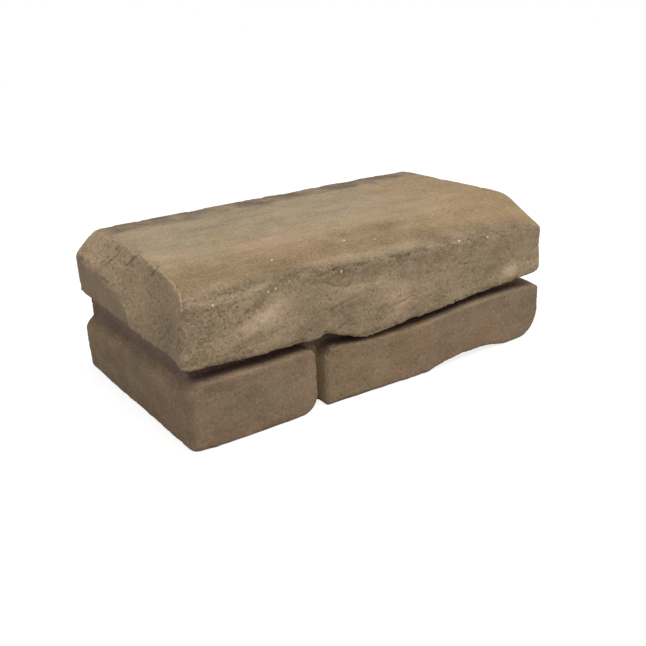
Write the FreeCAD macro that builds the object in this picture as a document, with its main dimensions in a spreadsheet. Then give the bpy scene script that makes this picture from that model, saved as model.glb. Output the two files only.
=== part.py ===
"""Retaining wall block: one cast concrete unit whose face looks like a long stone over two shorter ones.

Millimetres. X runs along the block, the face looks along -Y and Z is up, with the bed at Z = 0.
"""
import os

import FreeCAD
import Part
import Sketcher

# Driving dimensions, in millimetres
# Places along the block are measured from its left end, or from its right end at the arch
SIZES = {
    # Whole block
    "block_length": 457.0,
    "block_depth": 254.0,
    "block_height": 152.4,
    "left_corner_radius": 8.0,
    # Slanted front part of the right end, on the long stone and on the stone under it
    "slant_width": 13.0,
    "right_stone_slant_width": 15.5,
    "slant_length": 70.0,
    "slant_front_radius": 12.0,
    "slant_back_radius": 60.0,
    # False joints: how far they go in at the face and the ends, and the upright one between the short stones
    "joint_depth": 24.0,
    "left_joint_depth": 10.0,
    "right_joint_depth": 19.0,
    "upright_joint_width": 11.0,
    # Left short stone
    "left_stone_length": 135.5,
    "left_stone_height": 65.0,
    "left_stone_foot_radius": 19.0,
    "left_stone_shoulder_radius": 10.0,
    # Right short stone, whose top dips, then rises past the middle of its wave
    "right_stone_inner_height": 62.0,
    "right_stone_outer_height": 56.0,
    "right_stone_wave": 4.2,
    "right_stone_wave_place": 298.5,
    "right_stone_shoulder_radius": 12.0,
    "right_stone_foot_radius": 30.0,
    # Low arch under the foot of the right stone
    "arch_length": 116.0,
    "arch_height": 7.0,
    "arch_depth": 16.0,
    "arch_place": 127.0,
    "arch_end_radius": 40.0,
    # Bed joint over the short stones: at the left end, at the left stone's inner end and at the right end
    "left_joint_height": 12.0,
    "inner_joint_height": 8.0,
    "right_joint_height": 19.0,
    # Step where the long stone hangs lower, and the notch just before it
    "long_stone_low_height": 60.3,
    "step_start": 147.0,
    "step_end": 191.0,
    "step_radius": 35.0,
    "notch_length": 9.0,
    "notch_rise": 3.2,
    "notch_radius": 10.0,
    # Flare of the bed joint at the left end, which grows from front to back
    "flare_length": 24.0,
    "flare_height_front": 4.0,
    "flare_height_back": 11.0,
    # Long stone: the crown that falls to the front edge of its top
    "crown_reach": 75.0,
    "crown_drop_left": 5.5,
    "crown_drop_right": 21.0,
    "crown_ridge_radius": 150.0,
    # Long stone: the flat facet that takes off its front right corner
    "corner_facet_length": 45.0,
    "corner_facet_reach": 80.0,
    "corner_facet_drop": 35.0,
    # Long stone: the twisted chamfer on its left end, at the back, part way from it and at the front
    "chamfer_inset_back": 25.0,
    "chamfer_drop_back": 22.0,
    "chamfer_inset_middle": 23.0,
    "chamfer_drop_middle": 43.0,
    "chamfer_inset_front": 5.0,
    "chamfer_drop_front": 160.0,
    "chamfer_middle_place": 107.0,
    # Left short stone: the bevel of its left end, which widens from front to back
    "bevel_width_front": 10.0,
    "bevel_drop_front": 9.0,
    "bevel_width_back": 19.0,
    "bevel_drop_back": 15.0,
    "bevel_edge_radius": 14.0,
    # Bowed faces and rounded arrises
    "long_stone_bow": 3.0,
    "short_stone_bow": 4.0,
    "long_stone_arris": 5.0,
    "top_arris": 6.0,
    "left_stone_arris": 3.0,
    "right_stone_arris": 3.0,
    # How far a cut runs past the stone
    "cut_margin": 20.0,
}

LEFT = "block_length / -2"
RIGHT = "block_length / 2"
FRONT = "block_depth / -2"
BACK = "block_depth / 2"

# How close two places count as the same one
TOLERANCE = 0.01

doc = FreeCAD.newDocument("RetainingWallBlock")
sheet = doc.addObject("Spreadsheet::Sheet", "Sizes")
for row, (alias, value) in enumerate(SIZES.items(), start=1):
    sheet.set("A%d" % row, alias)
    sheet.set("B%d" % row, str(value))
    sheet.setAlias("B%d" % row, alias)
doc.recompute()


def bound(formula):
    """The formula with each sheet name written as setExpression wants it."""
    spaced = formula.replace("(", " ( ").replace(")", " ) ")
    return " ".join("Sizes." + word if word in SIZES else word for word in spaced.split())


def number(formula):
    """The formula's value."""
    return float(sheet.evalExpression(bound(formula)))


def near(value, target):
    return abs(value - target) < TOLERANCE


def origin_plane(body, role):
    return [feature for feature in body.Origin.OriginFeatures if feature.Role == role][0]


def sketch(body, name, plane, offset="0"):
    """A sketch on one of the body's origin planes, moved along the plane's normal."""
    item = body.newObject("Sketcher::SketchObject", name)
    item.AttachmentSupport = [(origin_plane(body, plane), "")]
    item.MapMode = "FlatFace"
    item.setExpression("AttachmentOffset.Base.z", bound(offset))
    return item


def outline(item, corners, bows=None):
    """A closed outline through corners given as formulas.

    A bow makes one side an arc: {side: (swell, 1)} swells to the right of the side's run, -1 to its left.
    """
    bows = bows or {}
    places = [FreeCAD.Vector(number(across), number(up), 0) for across, up in corners]
    count = len(places)
    ends = []
    for side, start in enumerate(places):
        end = places[(side + 1) % count]
        swell, turn = bows.get(side, ("0", 1))
        if side in bows:
            run = end - start
            aside = FreeCAD.Vector(run.y, -run.x, 0).normalize() * (number(swell) * turn)
            item.addGeometry(Part.Arc(start, (start + end) * 0.5 + aside, end), False)
        else:
            item.addGeometry(Part.LineSegment(start, end), False)
        # A sketch's arc always starts at its clockwise end
        ends.append((1, 2) if turn > 0 else (2, 1))
    for side in range(count):
        following = (side + 1) % count
        shared_corner = ("Coincident", side, ends[side][1], following, ends[following][0])
        item.addConstraint(Sketcher.Constraint(*shared_corner))
    for side, place in enumerate(corners):
        for kind, formula in zip(("DistanceX", "DistanceY"), place):
            distance = Sketcher.Constraint(kind, -1, 1, side, ends[side][0], number(formula))
            index = item.addConstraint(distance)
            item.setExpression("Constraints[%d]" % index, bound(formula))
    for side, (swell, _) in bows.items():
        radius = arc_radius(corners[side], corners[(side + 1) % count], swell)
        index = item.addConstraint(Sketcher.Constraint("Radius", side, number(radius)))
        item.setExpression("Constraints[%d]" % index, bound(radius))


def arc_radius(start, end, swell):
    """Radius of the arc over a chord that swells from it by the given formula."""
    chord_square = " + ".join("( %s - ( %s ) ) ^ 2" % (last, first) for first, last in zip(start, end))
    return "( ( %s ) / 4 + ( %s ) ^ 2 ) / ( 2 * ( %s ) )" % (chord_square, swell, swell)


def right_end_plan(start, front, slant, inset="0"):
    """Plan corners from a place along the front, round the slanted right end, to the back."""
    return [
        (start, front),
        (RIGHT + " - %s - %s" % (slant, inset), front),
        (RIGHT + " - " + inset, FRONT + " + slant_length + " + inset),
        (RIGHT + " - " + inset, BACK),
        (start, BACK),
    ]


def padded(body, plan_corners, height, base="0", bows=None):
    """A plan padded up from its base."""
    plan = sketch(body, body.Name + "Plan", "XY_Plane", base)
    outline(plan, plan_corners, bows)
    pad = body.newObject("PartDesign::Pad", body.Name + "Pad")
    pad.Profile = plan
    pad.setExpression("Length", bound(height))
    doc.recompute()
    return pad


def elevation_cut(body, name, corners, bows=None):
    """A cut right through the stone from front to back, drawn on its front elevation."""
    profile = sketch(body, name + "Profile", "XZ_Plane")
    outline(profile, corners, bows)
    pocket = body.newObject("PartDesign::Pocket", name)
    pocket.Profile = profile
    pocket.Type = "ThroughAll"
    pocket.Midplane = True
    doc.recompute()
    return pocket


def loft_cut(body, name, plane, sections, smooth=False):
    """A cut through outlines on parallel planes; each section is (offset, corners)."""
    profiles = []
    for index, (offset, corners) in enumerate(sections, start=1):
        profile = sketch(body, "%sProfile%d" % (name, index), plane, offset)
        outline(profile, corners)
        profiles.append(profile)
    loft = body.newObject("PartDesign::SubtractiveLoft", name)
    loft.Profile = profiles[0]
    loft.Sections = profiles[1:]
    loft.Ruled = not smooth
    doc.recompute()
    return loft


def rounded(body, name, feature, radius, test):
    """Rounds the feature's edges whose bounding box passes the test."""
    names = []
    for index, edge in enumerate(feature.Shape.Edges, start=1):
        if test(edge.BoundBox):
            names.append("Edge%d" % index)
    if not names:
        raise RuntimeError(name + " found no edge")
    fillet = body.newObject("PartDesign::Fillet", name)
    fillet.Base = (feature, names)
    fillet.setExpression("Radius", bound(radius))
    doc.recompute()
    return fillet


def upright_at(place):
    """Test for the upright front edge at a place along the block."""
    x = number(place)
    return lambda box: near(box.XMin, x) and near(box.XMax, x) and box.YMax < 0 and box.ZLength > TOLERANCE


def cross_edges_at(*places):
    """Test for edges that run from front to back at the given (along, up) places."""
    spots = [(number(along), number(up)) for along, up in places]

    def test(box):
        flat = box.XLength < TOLERANCE and box.ZLength < TOLERANCE
        return flat and any(near(box.XMin, x) and near(box.ZMin, z) for x, z in spots)
    return test


def rim_between(low, high, *ends):
    """Test for the edges along a stone's front and its open ends that lie between two levels."""
    bottom, top = number(low), number(high)
    face = number(FRONT + " + joint_depth / 2")
    end_places = [number(end) for end in ends]

    def test(box):
        in_range = box.ZMin > bottom - TOLERANCE and box.ZMax < top + TOLERANCE
        upright = box.ZLength > box.XLength and box.ZLength > box.YLength
        along_front = box.XLength > TOLERANCE and box.YMin < face
        along_end = any(near(box.XMin, x) and near(box.XMax, x) for x in end_places)
        return in_range and not upright and (along_front or along_end)
    return test


def long_stone():
    body = doc.addObject("PartDesign::Body", "LongStone")
    left_level = "left_stone_height + left_joint_height"
    inner_level = "left_stone_height + inner_joint_height"
    low_level = "long_stone_low_height"
    right_level = "right_stone_outer_height + right_joint_height"
    notch_start = "step_start - notch_length"
    fall = "( left_joint_height - inner_joint_height ) / ( %s )" % notch_start
    plan = right_end_plan(LEFT, FRONT + " + long_stone_bow", "slant_width")
    padded(body, plan, "block_height - " + low_level, low_level, {0: ("long_stone_bow", 1)})
    stone = elevation_cut(body, "Underside", [
        (LEFT + " - cut_margin", "0"),
        (RIGHT, "0"),
        (RIGHT, right_level),
        (LEFT + " + step_end", low_level),
        (LEFT + " + step_start", inner_level + " + notch_rise"),
        (LEFT + " + " + notch_start, inner_level),
        (LEFT + " - cut_margin", left_level + " + cut_margin * " + fall),
    ])
    stone = rounded(body, "UndersideStep", stone, "step_radius",
                    cross_edges_at((LEFT + " + step_end", low_level)))
    stone = rounded(body, "UndersideNotch", stone, "notch_radius", cross_edges_at(
        (LEFT + " + step_start", inner_level + " + notch_rise"),
        (LEFT + " + " + notch_start, inner_level)))

    def flare(end):
        length = "flare_length * flare_height_%s / flare_height_back" % end
        inset = LEFT + " + " + length
        rise = left_level + " + flare_height_" + end
        inset_level = left_level + " - %s * %s" % (length, fall)
        return [
            (LEFT, rise),
            (inset, inset_level),
            (inset, left_level + " - cut_margin"),
            (LEFT + " - cut_margin", left_level + " - cut_margin"),
            (LEFT + " - cut_margin", rise),
        ]

    # Offsets from the XZ plane run towards the face
    stone = loft_cut(body, "Flare", "XZ_Plane", [
        ("block_depth / -2", flare("back")),
        ("block_depth / 2", flare("front")),
    ])
    slant_front = upright_at(RIGHT + " - slant_width")
    stone = rounded(body, "LongStoneSlantFront", stone, "slant_front_radius", slant_front)
    stone = rounded(body, "LongStoneSlantBack", stone, "slant_back_radius", upright_at(RIGHT))
    stone = rounded(body, "LongStoneCorner", stone, "left_corner_radius", upright_at(LEFT))
    stone = rounded(body, "UndersideArris", stone, "long_stone_arris",
                    rim_between(low_level, left_level + " + flare_height_back", LEFT, RIGHT))

    def crown(drop):
        foot = "block_height - ( %s )" % drop
        return [
            (FRONT, foot),
            (FRONT + " + crown_reach", "block_height"),
            (FRONT + " + crown_reach", "block_height + cut_margin"),
            (FRONT + " - cut_margin", "block_height + cut_margin"),
            (FRONT + " - cut_margin", foot),
        ]

    overrun = "( crown_drop_right - crown_drop_left ) * cut_margin / block_length"
    stone = loft_cut(body, "Crown", "YZ_Plane", [
        (LEFT + " - cut_margin", crown("crown_drop_left - %s" % overrun)),
        (RIGHT + " + cut_margin", crown("crown_drop_right + %s" % overrun)),
    ])
    ridge = number(FRONT + " + crown_reach")
    stone = rounded(body, "CrownRidge", stone, "crown_ridge_radius",
                    lambda box: near(box.YMin, ridge) and near(box.YMax, ridge))
    rounded(body, "TopArris", stone, "top_arris", top_rim)
    corner_facet(body)

    def chamfer(end):
        inset = LEFT + " + chamfer_inset_" + end
        foot = "block_height - chamfer_drop_" + end
        return [
            (LEFT, foot),
            (inset, "block_height"),
            (inset, "block_height + cut_margin"),
            (LEFT + " - cut_margin", "block_height + cut_margin"),
            (LEFT + " - cut_margin", foot),
        ]

    loft_cut(body, "TwistedChamfer", "XZ_Plane", [
        ("block_depth / -2", chamfer("back")),
        ("block_depth / -2 + chamfer_middle_place", chamfer("middle")),
        ("block_depth / 2", chamfer("front")),
    ], smooth=True)
    return body


def corner_facet(body):
    """The flat cut from the right end's top to a place on the front top edge."""
    crown_fall = "( crown_drop_right - crown_drop_left ) / block_length"
    drop_at_edge = "( crown_drop_right - corner_facet_length * %s )" % crown_fall
    overrun = "( corner_facet_drop - %s ) * cut_margin / corner_facet_length" % drop_at_edge
    slope = "( corner_facet_drop / corner_facet_reach )"

    def wedge(drop):
        return [
            (FRONT + " - cut_margin", "block_height - ( %s ) - %s * cut_margin" % (drop, slope)),
            (FRONT + " + ( %s + cut_margin ) / %s" % (drop, slope), "block_height + cut_margin"),
            (FRONT + " - cut_margin", "block_height + cut_margin"),
        ]

    return loft_cut(body, "CornerFacet", "YZ_Plane", [
        (RIGHT + " - corner_facet_length - cut_margin", wedge("%s - %s" % (drop_at_edge, overrun))),
        (RIGHT + " + cut_margin", wedge("corner_facet_drop + %s" % overrun)),
    ])


def top_rim(box):
    """Test for the long stone's top edges along its front and its right end."""
    in_upper_half = box.ZMin > number("( left_stone_height + left_joint_height + block_height ) / 2")
    along_front = box.YMin < number(FRONT + " + long_stone_bow") and box.XLength > number("slant_length")
    along_right_end = near(box.XMax, number(RIGHT)) and box.YLength > TOLERANCE
    return in_upper_half and (along_front or along_right_end)


def left_stone():
    body = doc.addObject("PartDesign::Body", "LeftStone")
    inner = LEFT + " + left_stone_length"
    front = FRONT + " + short_stone_bow"
    plan = [(LEFT, front), (inner, front), (inner, BACK), (LEFT, BACK)]
    stone = padded(body, plan, "left_stone_height", bows={0: ("short_stone_bow", 1)})
    stone = rounded(body, "LeftStoneFoot", stone, "left_stone_foot_radius", cross_edges_at((inner, "0")))
    stone = rounded(body, "LeftStoneShoulder", stone, "left_stone_shoulder_radius",
                    cross_edges_at((inner, "left_stone_height")))

    def bevel(end):
        inset = LEFT + " + bevel_width_" + end
        foot = "left_stone_height - bevel_drop_" + end
        return [
            (LEFT, foot),
            (inset, "left_stone_height"),
            (inset, "left_stone_height + cut_margin"),
            (LEFT + " - cut_margin", "left_stone_height + cut_margin"),
            (LEFT + " - cut_margin", foot),
        ]

    stone = loft_cut(body, "EndBevel", "XZ_Plane", [
        ("block_depth / -2", bevel("back")),
        ("block_depth / 2", bevel("front")),
    ])
    stone = rounded(body, "BevelEdge", stone, "bevel_edge_radius", end_bevel_foot)
    stone = rounded(body, "LeftStoneCorner", stone, "left_corner_radius", upright_at(LEFT))
    rounded(body, "LeftStoneArris", stone, "left_stone_arris",
            rim_between("0", "left_stone_height", LEFT))
    return body


def end_bevel_foot(box):
    """Test for the edge between the left stone's end face and the bevel over it."""
    end = number(LEFT)
    return near(box.XMin, end) and near(box.XMax, end) and box.YLength > box.ZLength > TOLERANCE


def right_stone():
    body = doc.addObject("PartDesign::Body", "RightStone")
    inner = LEFT + " + left_stone_length + upright_joint_width"
    dip_length = "( right_stone_wave_place - left_stone_length - upright_joint_width )"
    rise_length = "( block_length - right_stone_wave_place )"
    fall = "( right_stone_inner_height - right_stone_outer_height )"
    middle = LEFT + " + right_stone_wave_place"
    dip_share = "%s / ( %s + %s )" % (dip_length, dip_length, rise_length)
    middle_height = "right_stone_inner_height - %s * %s" % (fall, dip_share)
    rise = "right_stone_wave * %s / %s" % (rise_length, dip_length)
    highest = "left_stone_height + left_joint_height"
    plan = right_end_plan(inner, FRONT + " + short_stone_bow", "right_stone_slant_width")
    padded(body, plan, highest, bows={0: ("short_stone_bow", 1)})
    stone = elevation_cut(body, "RightStoneTop", [
        (inner, "right_stone_inner_height"),
        (middle, middle_height),
        (RIGHT, "right_stone_outer_height"),
        (RIGHT, highest + " + cut_margin"),
        (inner, highest + " + cut_margin"),
    ], {0: ("right_stone_wave", 1), 1: (rise, -1)})
    stone = rounded(body, "RightStoneShoulder", stone, "right_stone_shoulder_radius",
                    cross_edges_at((inner, "right_stone_inner_height")))
    stone = rounded(body, "RightStoneSlantBack", stone, "slant_back_radius", upright_at(RIGHT))
    stone = rounded(body, "RightStoneFoot", stone, "right_stone_foot_radius", right_end_foot)
    stone = foot_arch(body)
    rounded(body, "RightStoneArris", stone, "right_stone_arris",
            rim_between("0", highest, RIGHT))
    return body


def right_end_foot(box):
    """Test for the bed's edges along the right stone's slanted end."""
    past_front_corner = box.XMin > number(RIGHT + " - right_stone_slant_width") - TOLERANCE
    return past_front_corner and box.ZMax < TOLERANCE and box.YLength > TOLERANCE


def foot_arch(body):
    """The arch cut into the foot of the face, with its two ends eased."""
    middle = RIGHT + " - arch_place"
    left_end = middle + " - arch_length / 2"
    right_end = middle + " + arch_length / 2"
    profile = sketch(body, "FootArchProfile", "XZ_Plane", "block_depth / 2")
    outline(profile, [
        (left_end, "0"),
        (right_end, "0"),
        (right_end, "-1 * cut_margin"),
        (left_end, "-1 * cut_margin"),
    ], {0: ("arch_height", -1)})
    arch = body.newObject("PartDesign::Pocket", "FootArch")
    arch.Profile = profile
    arch.setExpression("Length", bound("arch_depth"))
    doc.recompute()
    ends = cross_edges_at((left_end, "0"), (right_end, "0"))
    return rounded(body, "ArchEnds", arch, "arch_end_radius", ends)


def core():
    """The mass behind the joints: set back from the face and both ends, flush with the back."""
    body = doc.addObject("PartDesign::Body", "Core")
    plan = right_end_plan(LEFT + " + left_joint_depth", FRONT + " + joint_depth", "slant_width",
                          "right_joint_depth")
    padded(body, plan, "left_stone_height + left_joint_height + joint_depth")
    return body


def check(items):
    """Stops the build if any object of the document failed."""
    for item in items:
        failed = "Invalid" in item.State or "Error" in item.State
        shape = getattr(item, "Shape", None)
        solid = item.isDerivedFrom("PartDesign::Feature")
        if failed or (solid and (shape.isNull() or not shape.isValid())):
            raise RuntimeError(item.Name + " failed")


def main():
    block = doc.addObject("Part::MultiFuse", "WallBlock")
    block.Shapes = [long_stone(), left_stone(), right_stone(), core()]
    block.Refine = True
    block.Label = "wall_block"
    doc.recompute()
    check(doc.Objects)
    if not block.Shape.isValid() or len(block.Shape.Solids) != 1:
        raise RuntimeError("the block isn't one valid solid")
    os.makedirs("parts", exist_ok=True)
    block.Shape.exportStep("parts/%s.step" % block.Label)


main()
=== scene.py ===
"""Retaining wall block of tan concrete: split-stone relief, weathered colours and painted light and
shade, in a pale studio.

Blender works in metres. The relief and the colour zones are worked out in millimetres, in the part's
frame: X runs along the block, the face looks along -Y, Z is up, and the origin is the bed's middle.
"""
import itertools
import math

import bpy
import numpy as np
from mathutils import Matrix, Vector


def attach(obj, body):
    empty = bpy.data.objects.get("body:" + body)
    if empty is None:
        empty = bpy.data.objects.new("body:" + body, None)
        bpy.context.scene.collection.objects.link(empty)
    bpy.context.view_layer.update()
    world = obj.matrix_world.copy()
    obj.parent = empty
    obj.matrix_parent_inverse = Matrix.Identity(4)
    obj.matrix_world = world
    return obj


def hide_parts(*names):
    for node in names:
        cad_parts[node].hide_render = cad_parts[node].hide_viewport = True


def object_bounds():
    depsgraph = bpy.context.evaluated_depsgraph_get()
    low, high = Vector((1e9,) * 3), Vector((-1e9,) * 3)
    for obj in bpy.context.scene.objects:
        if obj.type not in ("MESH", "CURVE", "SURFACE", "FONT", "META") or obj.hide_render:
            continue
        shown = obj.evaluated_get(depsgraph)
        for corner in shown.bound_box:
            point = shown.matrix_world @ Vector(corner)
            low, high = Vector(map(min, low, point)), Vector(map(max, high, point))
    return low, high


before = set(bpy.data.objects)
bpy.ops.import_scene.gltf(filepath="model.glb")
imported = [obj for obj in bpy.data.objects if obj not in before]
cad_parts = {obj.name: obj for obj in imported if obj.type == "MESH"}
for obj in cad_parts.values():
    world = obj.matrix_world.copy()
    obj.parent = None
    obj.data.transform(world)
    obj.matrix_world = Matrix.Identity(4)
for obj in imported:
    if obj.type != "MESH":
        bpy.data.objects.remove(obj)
cad_low, cad_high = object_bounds()

MM = 0.001
NODE = "wall_block"
LEFT, FRONT, BED = (value / MM for value in cad_low)
RIGHT, BACK, TOP = (value / MM for value in cad_high)

# Level of the false bed joint's middle along the block
JOINT_PLACES = (LEFT, LEFT + 138, LEFT + 150, LEFT + 191, RIGHT)
JOINT_LEVELS = (71, 69, 69, 59, 65.5)
# Middle of the upright joint between the two lower stones
UPRIGHT_MIDDLE = LEFT + 141
# Level of the long stone's front top edge along the block, which falls faster at the right corner
CORNER_FACET_PLACE = RIGHT - 45
EDGE_PLACES = (LEFT, CORNER_FACET_PLACE, RIGHT)
EDGE_LEVELS = (TOP - 5.5, TOP - 19.5, TOP - 35)

# Stretches over which one kind of face gives way to the next: up or down from the bed joint's middle,
# in from the face and the ends, to each side of the upright joint, and up from the bed
ABOVE_JOINT = (-3, 3)
JOINT_FLOOR = (-14, -9)
JOINT_CEILING = (12, 16)
JOINT_MOUTH = (6, 12)
UPRIGHT_HALF = (5.5, 7)
UPRIGHT_MOUTH = (3, 7)
BACK_MARGIN = (1, 3)
FOOT = (2, 5)
# How far a face has to look one way to count as looking that way, from not at all to wholly
LEFTWARD = (0.25, 0.5)
UPWARD = (0.55, 0.9)
DOWNWARD = (0.7, 0.95)
REARWARD = (0.6, 0.9)

# Edges of the long stone that weather has rounded: how far they reach over the joint, from the left
# end, under the front edge's level, in from the face, and to each side of the corner facet's start
SOFT_OVER_JOINT = (14, 24)
SOFT_FROM_LEFT = (34, 44)
SOFT_LEFT_SHARE = 0.35
SOFT_UNDER_EDGE = (-16, -10)
SOFT_FROM_FACE = (14, 24)
SOFT_AT_CORNER = (-10, 5)

# How far the long stone's front-left edge stands out of the solid's rounded corner, by level, and where
# that fades along the block and in from the face; part of it also goes back from the face
CORNER_LEVELS = (76, 100, 125, 140, 150)
CORNER_REACHES = (4, 5.5, 4.5, 1.5, 0)
CORNER_OVER_JOINT = (2, 8)
CORNER_FADE = (5, 50)
CORNER_DEPTH = 30
SETBACK_SHARE = 0.7
SETBACK_FADE = (0, 30)
SETBACK_DEPTH = 15
# Roll of the front top edge at the left end: a slope that starts behind the face just under the top
ROLL_PLACE = (0, FRONT + 17, TOP - 5)
ROLL_FALL = math.radians(41)
ROLL_OUTWARD = (0, -math.sin(ROLL_FALL), math.cos(ROLL_FALL))
ROLL_FADE = (10, 130)

# Lower border of the rough facet on the left end, a place across the block and a level, and its front
FACET_PLACES = (0, 10, 25, 52, 90, BACK)
FACET_LEVELS = (95, 106, 112, 116, 121, 127)
FACET_BORDER = (-2, 3)
FACET_FRONT = (-12, -4)
FACET_WANDER = 3
# Thin lip where that border turns down, a level and a place across the block, and the hollow behind it
LIP_LEVELS = (80, 92.6, 98.8, 103.8, 110)
LIP_PLACES = (-8, -6.3, -3.2, 4, 16)
LIP_FOOT = (82, 88)
LIP_HEAD = (102, 108)
LIP_FROM_LEFT = (8, 14)
LIP_WIDTH = 1.5
LIP_HEIGHT = 1.1
HOLLOW_OFFSET = 3.5
HOLLOW_DEPTH = 0.8
# Scratches on the facet: place across at the top, lean back for each millimetre down, lowest level
FACET_GROOVES = ((43, 0.75, 126), (51, 0.75, 131), (3, 1.3, 136), (-47, 1, 141))
GROOVE_WIDTH = 1.6
GROOVE_WANDER = 2
GROOVE_END = 3

# White pebbles in the face, each a place along the block and a level, and in the top, along and across
FACE_PEBBLES = ((-196, 133), (-142, 133), (-134, 134), (-64, 135), (87, 134), (126, 131), (192, 89))
TOP_PEBBLES = ((-115, -89), (-26, -80))
PEBBLE_RADIUS = 1.1

# Oval patches, each a middle and a reach: scooped left part of the face, worn corner of the right
# stone, dull corner and foot of the face, bloom on the face, coarse sand at its left end, warm part of
# the right stone, and shaded front of the facet
SCOOP_PATCH = ((-168, FRONT, 108), (58, 30, 34))
WORN_CORNER_PATCH = ((UPRIGHT_MIDDLE + 15, FRONT + 3, 53), (11, 12, 8))
DULL_CORNER_PATCH = ((-205, FRONT, 120), (22, 30, 18))
DULL_FOOT_PATCH = ((-105, FRONT, 88), (40, 30, 9))
BLOOM_PATCH = ((-150, FRONT, 112), (34, 30, 17))
COARSE_PATCH = ((-190, FRONT, 100), (40, 30, 40))
WARM_STONE_PATCH = ((UPRIGHT_MIDDLE + 50, FRONT, 26), (55, 30, 34))
SHADED_FACET_PATCH = ((LEFT, -82, 95), (40, 42, 28))
# Pale patches in the face: place along the block, level, width, rise and strength
PALE_PATCHES = ((0, 102, 24, 20, 0.6), (7, 84, 12, 14, 0.35), (89, 125, 11, 7, 0.6),
                (-46, 117, 14, 6, 0.4), (163, 86, 10, 8, 1.3))
PALE_PLACE = FRONT + 4
PALE_DEPTH = 25

# Noises: size of the largest lumps, along, across and up where they differ, layers and seed
NOISES = {
    "wander": (14, 2, 5),
    "bedding": (60, 2, 11),
    "swales": ((150, 90, 40), 2, 21),
    "scoops": ((70, 60, 15), 2, 25),
    "swell": (75, 2, 31),
    "lumps": (24, 2, 41),
    "grains": (6, 2, 51),
    "pits": (9, 2, 61),
    "creases": ((130, 60, 32), 2, 71),
    "creased parts": (45, 1, 73),
    "rakes": ((60, 12, 60), 2, 81),
    "raked parts": (30, 1, 83),
    "groove wander": (9, 2, 85),
    "groove breaks": (8, 2, 87),
    "chips": (16, 3, 91),
    "nibbles": (7, 2, 95),
    "drift": (50, 3, 101),
    "patches": (28, 4, 111),
    "drawn": ((150, 14, 30), 3, 121),
    "streaks": ((80, 40, 9), 3, 131),
    "clouds": ((40, 40, 16), 3, 141),
    "coarse parts": (34, 2, 151),
}
# Values of those noises over which a mark sets in: pits, creases and the parts that have them, rakes and
# the parts that have them, whole grooves, chips and nibbles, coarse sand, smears, dull and pale spots
PITTED = (0.4, 0.8)
CREASED = (0.78, 1)
CREASED_PARTS = (0, 0.4)
RAKED = (0.6, 1)
RAKED_PARTS = (-0.2, 0.4)
UNBROKEN = (-0.6, 0)
CHIPPED = (0, 0.5)
COARSE = (-0.3, 0.4)
SMEARED = (0.15, 0.7)
DULL_SPOTS = (0.1, 0.6)
PALE_SPOTS = (0.15, 0.6)
# Slant of the swales in the left part of the face, lean of the facet's rakes, and the bedding's waves
SWALE_RISE = math.radians(33)
RAKE_LEAN = 0.9
BEDDING_WAVE = 5
BEDDING_RISE = 0.07

# Millimetres by which each kind of unevenness lifts or lowers each kind of face
SPLIT_RELIEF = {"swales": 1.1, "scoops": 1.4, "swell": 0.5, "lumps": 0.3, "grains": 0.25,
                "pits": -0.5, "creases": -0.8}
FACET_RELIEF = {"swell": 0.5, "lumps": 0.5, "grains": 0.45, "pits": -0.6, "rakes": -0.6, "grooves": -1.1}
DRESSED_RELIEF = {"swell": 0.7, "lumps": 0.3, "grains": 0.18, "pits": -0.35, "creases": -0.4}
WORN_CORNER_LOSS = {"all": 0.4, "pits": 1.6, "grains": -0.8}
LEVEL_RELIEF = {"swell": 0.4, "lumps": 0.12, "grains": 0.1}
JOINT_RELIEF = {"lumps": 0.4, "grains": 0.2}
REAR_SHARE = 0.4
# Wear of the arrises: the turn per millimetre that counts as one, and what they lose
ARRIS_BEND = 0.08
ARRIS_LOSS = 0.1
LONG_STONE_CHIPS = 1.3
LONG_STONE_NIBBLES = 0.9
SHORT_STONE_CHIPS = 0.4
NIBBLED_OVER_JOINT = (14, 20)

# Mesh fineness, and how often points, normals, bends and the weathered edges are smoothed
CELL = 1.25
TRIANGLES = 196_000
POINT_ROUNDS = 2
ZONE_ROUNDS = 14
NORMAL_ROUNDS = 3
ARRIS_ROUNDS = 3
BEND_ROUNDS = 2
SOFT_ROUNDS = 30


# Noise and mixing

LATTICE = 256
NOISE_GAIN = 1.8
CREST_GAIN = 2.2


def unit(vectors):
    """The vectors, each made one long."""
    return vectors / np.linalg.norm(vectors, axis=1, keepdims=True)


def lattice_noise(points, seed):
    """Smooth noise, about -1 to 1, at points given in lattice cells."""
    rng = np.random.default_rng(seed)
    order = rng.permutation(LATTICE)
    slopes = unit(rng.normal(size=(LATTICE, 3)))
    cell = np.floor(points).astype(int)
    inside = points - cell
    fade = inside ** 3 * (inside * (inside * 6 - 15) + 10)
    total = np.zeros(len(points))
    for corner in itertools.product((0, 1), repeat=3):
        spot = (cell + corner) & (LATTICE - 1)
        row = order[(order[spot[:, 0]] + spot[:, 1]) & (LATTICE - 1)]
        slope = slopes[order[(row + spot[:, 2]) & (LATTICE - 1)]]
        share = np.prod(np.where(corner, fade, 1 - fade), axis=1)
        total += share * np.einsum("ij,ij->i", slope, inside - corner)
    return total * NOISE_GAIN


def noise(name, points):
    """A named noise at the points; each further layer is half as large and half as strong."""
    size, layers, seed = NOISES[name]
    cells = points / np.asarray(size, float)
    return sum(lattice_noise(cells * 2 ** layer, seed + layer) / 2 ** layer for layer in range(layers))


def crests(name, points):
    """A named noise with sharp crests at 1 and broad hollows down to about -1."""
    return 1 - CREST_GAIN * np.abs(noise(name, points))


def step(values, low, high):
    """0 below low, 1 above high, smooth between."""
    share = np.clip((values - low) / (high - low), 0, 1)
    return share * share * (3 - 2 * share)


def fall(values, low, high):
    """1 below low, 0 above high, smooth between."""
    return 1 - step(values, low, high)


def bell(values, width):
    """1 at 0, fading to each side."""
    return np.exp(-(values / width) ** 2)


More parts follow.
